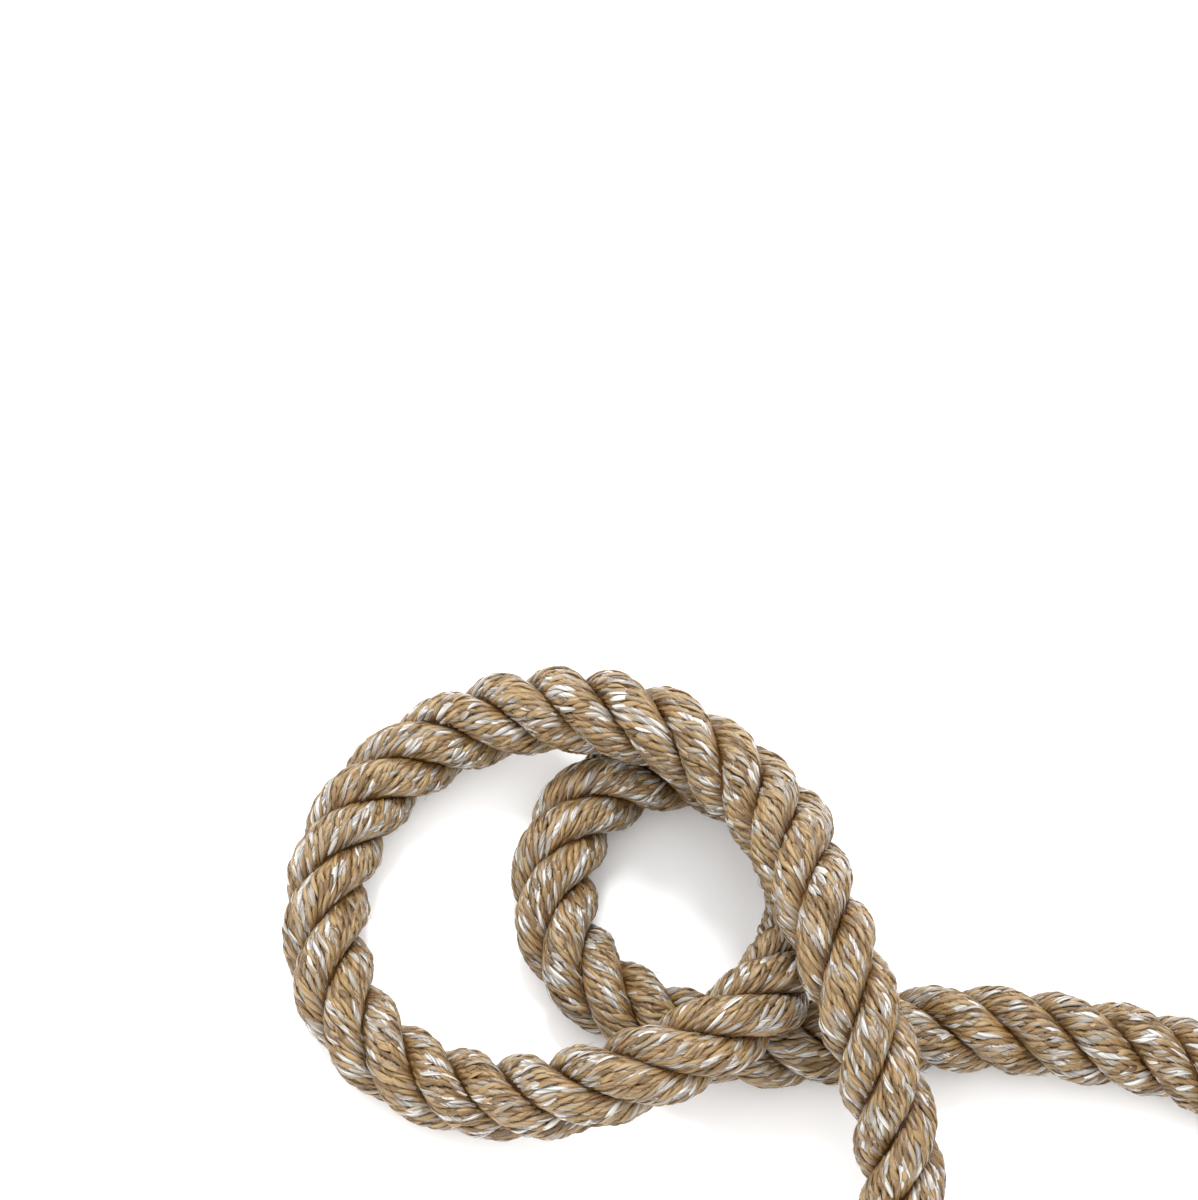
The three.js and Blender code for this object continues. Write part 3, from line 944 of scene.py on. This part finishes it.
def make_strays(line, order, material):
    """Short thin filaments that peel off the yarns here and there."""
    rng = np.random.default_rng(SEED + 20)
    tubes = TubeMesh()
    for k in range(3):
        course = whole_course(line, k, order[k])
        for start in rng.integers(STRAYS_FROM, len(course["s"]) - STRAYS_SHORT_OF, STRAYS_PER_STRAND):
            span = slice(start, start + rng.integers(*STRAY_STEPS))
            angle = course["yarn_angle"][span] + rng.uniform(0, TAU)
            out, around = course["outward"][span], course["around"][span]
            way = np.cos(angle)[:, None] * out + np.sin(angle)[:, None] * around
            foot = (
                course["middles"][span]
                + (course["deep"][span] * np.cos(angle))[:, None] * out
                + (course["wide"][span] * np.sin(angle))[:, None] * around
            )
            share = np.linspace(0, 1, len(angle))
            rise = (STRAY_FOOT_D + rng.uniform(*STRAY_RISE_D) * share**2) * ROPE_D
            path = foot + rise[:, None] * way
            if np.cos(angle).min() < STRAY_LEAST_COS or path[:, 2].min() < STRAY_LEAST_Z:
                continue
            thick = STRAY_D / 2 * (1 - STRAY_TAPER * share)
            tubes.add(path, way, thick, thick, np.zeros(len(share)), np.ones(len(share)), rng,
                      radii=ROUND_RADII, phase=rng.uniform(0, FILM_PHASES))
    strays = tubes.build("stray_filaments", material)
    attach(strays, "root")
    return strays


# ---------------------------------------------------------------- twine

def wind(tubes, middles, twine_d, pitch, rng):
    """Two-ply twine along the points."""
    tangents = unit(np.gradient(middles, axis=0))
    up = np.cross(tangents, ASKEW)
    s = np.concatenate([[0], np.cumsum(np.linalg.norm(np.diff(middles, axis=0), axis=1))])
    count = len(middles)
    between, amount = TWINE_WANDER
    twist = TAU * s / pitch + wander(s, between * pitch, amount, rng)
    half = np.full(count, twine_d / 2)
    tubes.add(middles, unit(up), half, half, twist, np.ones(count), rng, radii=PLY_RADII,
              phase=rng.uniform(0, FILM_PHASES))


def make_whipping(name, node, line, start, material, rng):
    """Turns of twine wound tight round the rope."""
    spacing = WHIPPING_SPACING * WHIPPING_TWINE_D
    turns = int(WHIPPING_L / spacing)
    uneven, uneven_rate = 0.04, 0.37
    angle = np.linspace(0, TAU * turns, turns * WHIPPING_STEPS)
    at = start + WHIPPING_TWINE_D / 2 + spacing * angle / TAU
    radius = 0.5 * ROPE_D + WHIPPING_SEAT * WHIPPING_TWINE_D
    radius = radius + uneven * WHIPPING_TWINE_D * np.sin(uneven_rate * angle)

    def along(values):
        return np.stack([np.interp(at, line.s, values[:, axis]) for axis in range(3)], axis=1)
    out = np.cos(angle)[:, None] * along(line.normals) + np.sin(angle)[:, None] * along(line.sides)
    tubes = TubeMesh()
    middles = along(line.points) + radius[:, None] * out
    wind(tubes, middles, WHIPPING_TWINE_D, WHIPPING_LAY * WHIPPING_TWINE_D, rng)
    return finished(tubes.build(name, material), node)


def hull_outline(centres, radius):
    """A closed outline, drawn tight round circles of that radius."""
    angles = np.linspace(0, TAU, 144, endpoint=False)
    ways = np.stack([np.cos(angles), np.sin(angles)], axis=1)
    outermost = np.argmax(ways @ np.array(centres).T, axis=1)
    return np.array(centres)[outermost] + radius * ways


def make_tie(name, node, side, spots, material, rng):
    """Turns of twine round the hank's leg. spots are the rope's places in it: column, layer."""
    column = (COLUMN_OUTER_R - COLUMN_INNER_R) / 2 * (1 - SQUEEZE)
    layer = LAYER_PITCH / 2 * (1 - SQUEEZE)
    centres = [(side * LEG_Y + side * column * across, LEG_Z + layer * up) for across, up in spots]
    outline = hull_outline(centres, 0.5 * ROPE_D * (1 - TIE_THINNED) + TIE_SEAT * TIE_TWINE_D)
    loop = np.concatenate([outline] * TIE_WRAPS + [outline[:1]])
    turns = np.arange(len(loop)) / len(outline)
    pitch = TIE_SPACING * TIE_TWINE_D
    x = HANK_X + pitch * (turns - TIE_WRAPS / 2)
    rough = np.column_stack([x, loop])
    s = np.concatenate([[0], np.cumsum(np.linalg.norm(np.diff(rough, axis=0), axis=1))])
    even = np.arange(0, s[-1], TIE_STEP)
    middles = np.stack([np.interp(even, s, rough[:, axis]) for axis in range(3)], axis=1)
    tubes = TubeMesh()
    wind(tubes, middles, TIE_TWINE_D, TIE_LAY * TIE_TWINE_D, rng)
    return finished(tubes.build(name, material), node)


def make_knot(name, node, side, material, rng):
    """A small reef knot, its two halves hooked into each other."""
    tubes = TubeMesh()
    for way in (1, -1):
        points = [(HANK_X + way * x * KNOT_HALF_SIZE[0],
                   side * (KNOT_CENTRE_Y - y * KNOT_HALF_SIZE[1]),
                   KNOT_CENTRE_Z + z * KNOT_HALF_SIZE[2]) for x, y, z in REEF_HALF]
        middles, _ = spline_through(points, KNOT_STEP)
        wind(tubes, middles, TIE_TWINE_D, TIE_LAY * TIE_TWINE_D, rng)
    return finished(tubes.build(name, material), node)


# ---------------------------------------------------------------- the bitter end

def make_melted_end(name, node, course, material, rng):
    """The end of a strand, melted to an uneven bead."""
    rings, around = 22, 28
    out = -unit(course["middles"][1] - course["middles"][0])
    across = course["outward"][0]
    side = np.cross(out, across)
    lengthwise = np.linspace(BEAD_POLE, math.pi - BEAD_POLE, rings)
    angles = TAU * np.arange(around) / around
    bumps = rng.uniform(0, TAU, 4)
    vertices = []
    for height_angle in lengthwise:
        for angle in angles:
            uneven = (1 + 0.05 * math.sin(3 * angle + bumps[0]) + 0.04 * math.sin(5 * angle + bumps[1])
                      + 0.05 * math.sin(4 * height_angle + 2 * angle + bumps[2]))
            radius = BEAD_R * math.sin(height_angle) ** BEAD_BOXINESS * uneven
            skewed = 1 + 0.06 * math.sin(2 * angle + bumps[3])
            reach = BEAD_AT - BEAD_HALF_L * math.cos(height_angle) * skewed
            vertices.append(course["middles"][0] + out * reach + across * radius * math.cos(angle)
                            + side * radius * BEAD_OVAL * math.sin(angle))
    faces = [(ring * around + i, ring * around + (i + 1) % around,
              (ring + 1) * around + (i + 1) % around, (ring + 1) * around + i)
             for ring in range(rings - 1) for i in range(around)]
    faces.append(tuple(reversed(range(around))))
    faces.append(tuple((rings - 1) * around + i for i in range(around)))
    mesh = bpy.data.meshes.new(name)
    mesh.from_pydata([tuple(v) for v in vertices], [], faces)
    mesh.shade_smooth()
    mesh.materials.append(material)
    bead = bpy.data.objects.new(name, mesh)
    bpy.context.scene.collection.objects.link(bead)
    return finished(bead, node)


def finished(piece, node):
    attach(piece, "root")
    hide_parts(node)
    return piece


# ---------------------------------------------------------------- the whole line

def make_line():
    line = Centreline()
    order = tucks_by_strand(line)
    film = rope_material()
    strands = make_strands(line, order, film)
    strays = make_strays(line, order, film)
    for strand in strands:
        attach(strand, "root")
    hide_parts("tail_run", "outer_turn", "inner_turn", "standing_run", "stowed_hank",
                "hank_top_run", "splice_body", "eye_loop")

    rng = np.random.default_rng(SEED + 10)
    tarred = twine_material("tarred_twine", TARRED_COLOURS, 0.5)
    cotton = twine_material("cotton_twine", COTTON_COLOURS, 0.85)
    melted = melted_material()
    splice_wrap_from = line.splice - WHIPPING_L - SPLICE_WRAP_GAP
    pieces = [
        make_whipping("end_wrap", "end_whipping", line, END_WRAP_FROM, tarred, rng),
        make_whipping("splice_wrap", "splice_whipping", line, splice_wrap_from, tarred, rng),
        make_tie("tie_near", "hank_tie_near", -1, [(1, -1), (-1, -1), (-1, 1), (1, 1)], cotton, rng),
        make_tie("tie_far", "hank_tie_far", 1, [(1, -1), (-1, 1), (1, 1)], cotton, rng),
        make_knot("knot_near", "tie_knot_near", -1, cotton, rng),
        make_knot("knot_far", "tie_knot_far", 1, cotton, rng),
    ]
    for k in range(3):
        course = main_course(line, k)
        node = f"melted_strand_end_{k + 1}"
        pieces.append(make_melted_end(f"melted_end_{k + 1}", node, course, melted, rng))


make_camera()
make_line()
make_floor()
make_light()
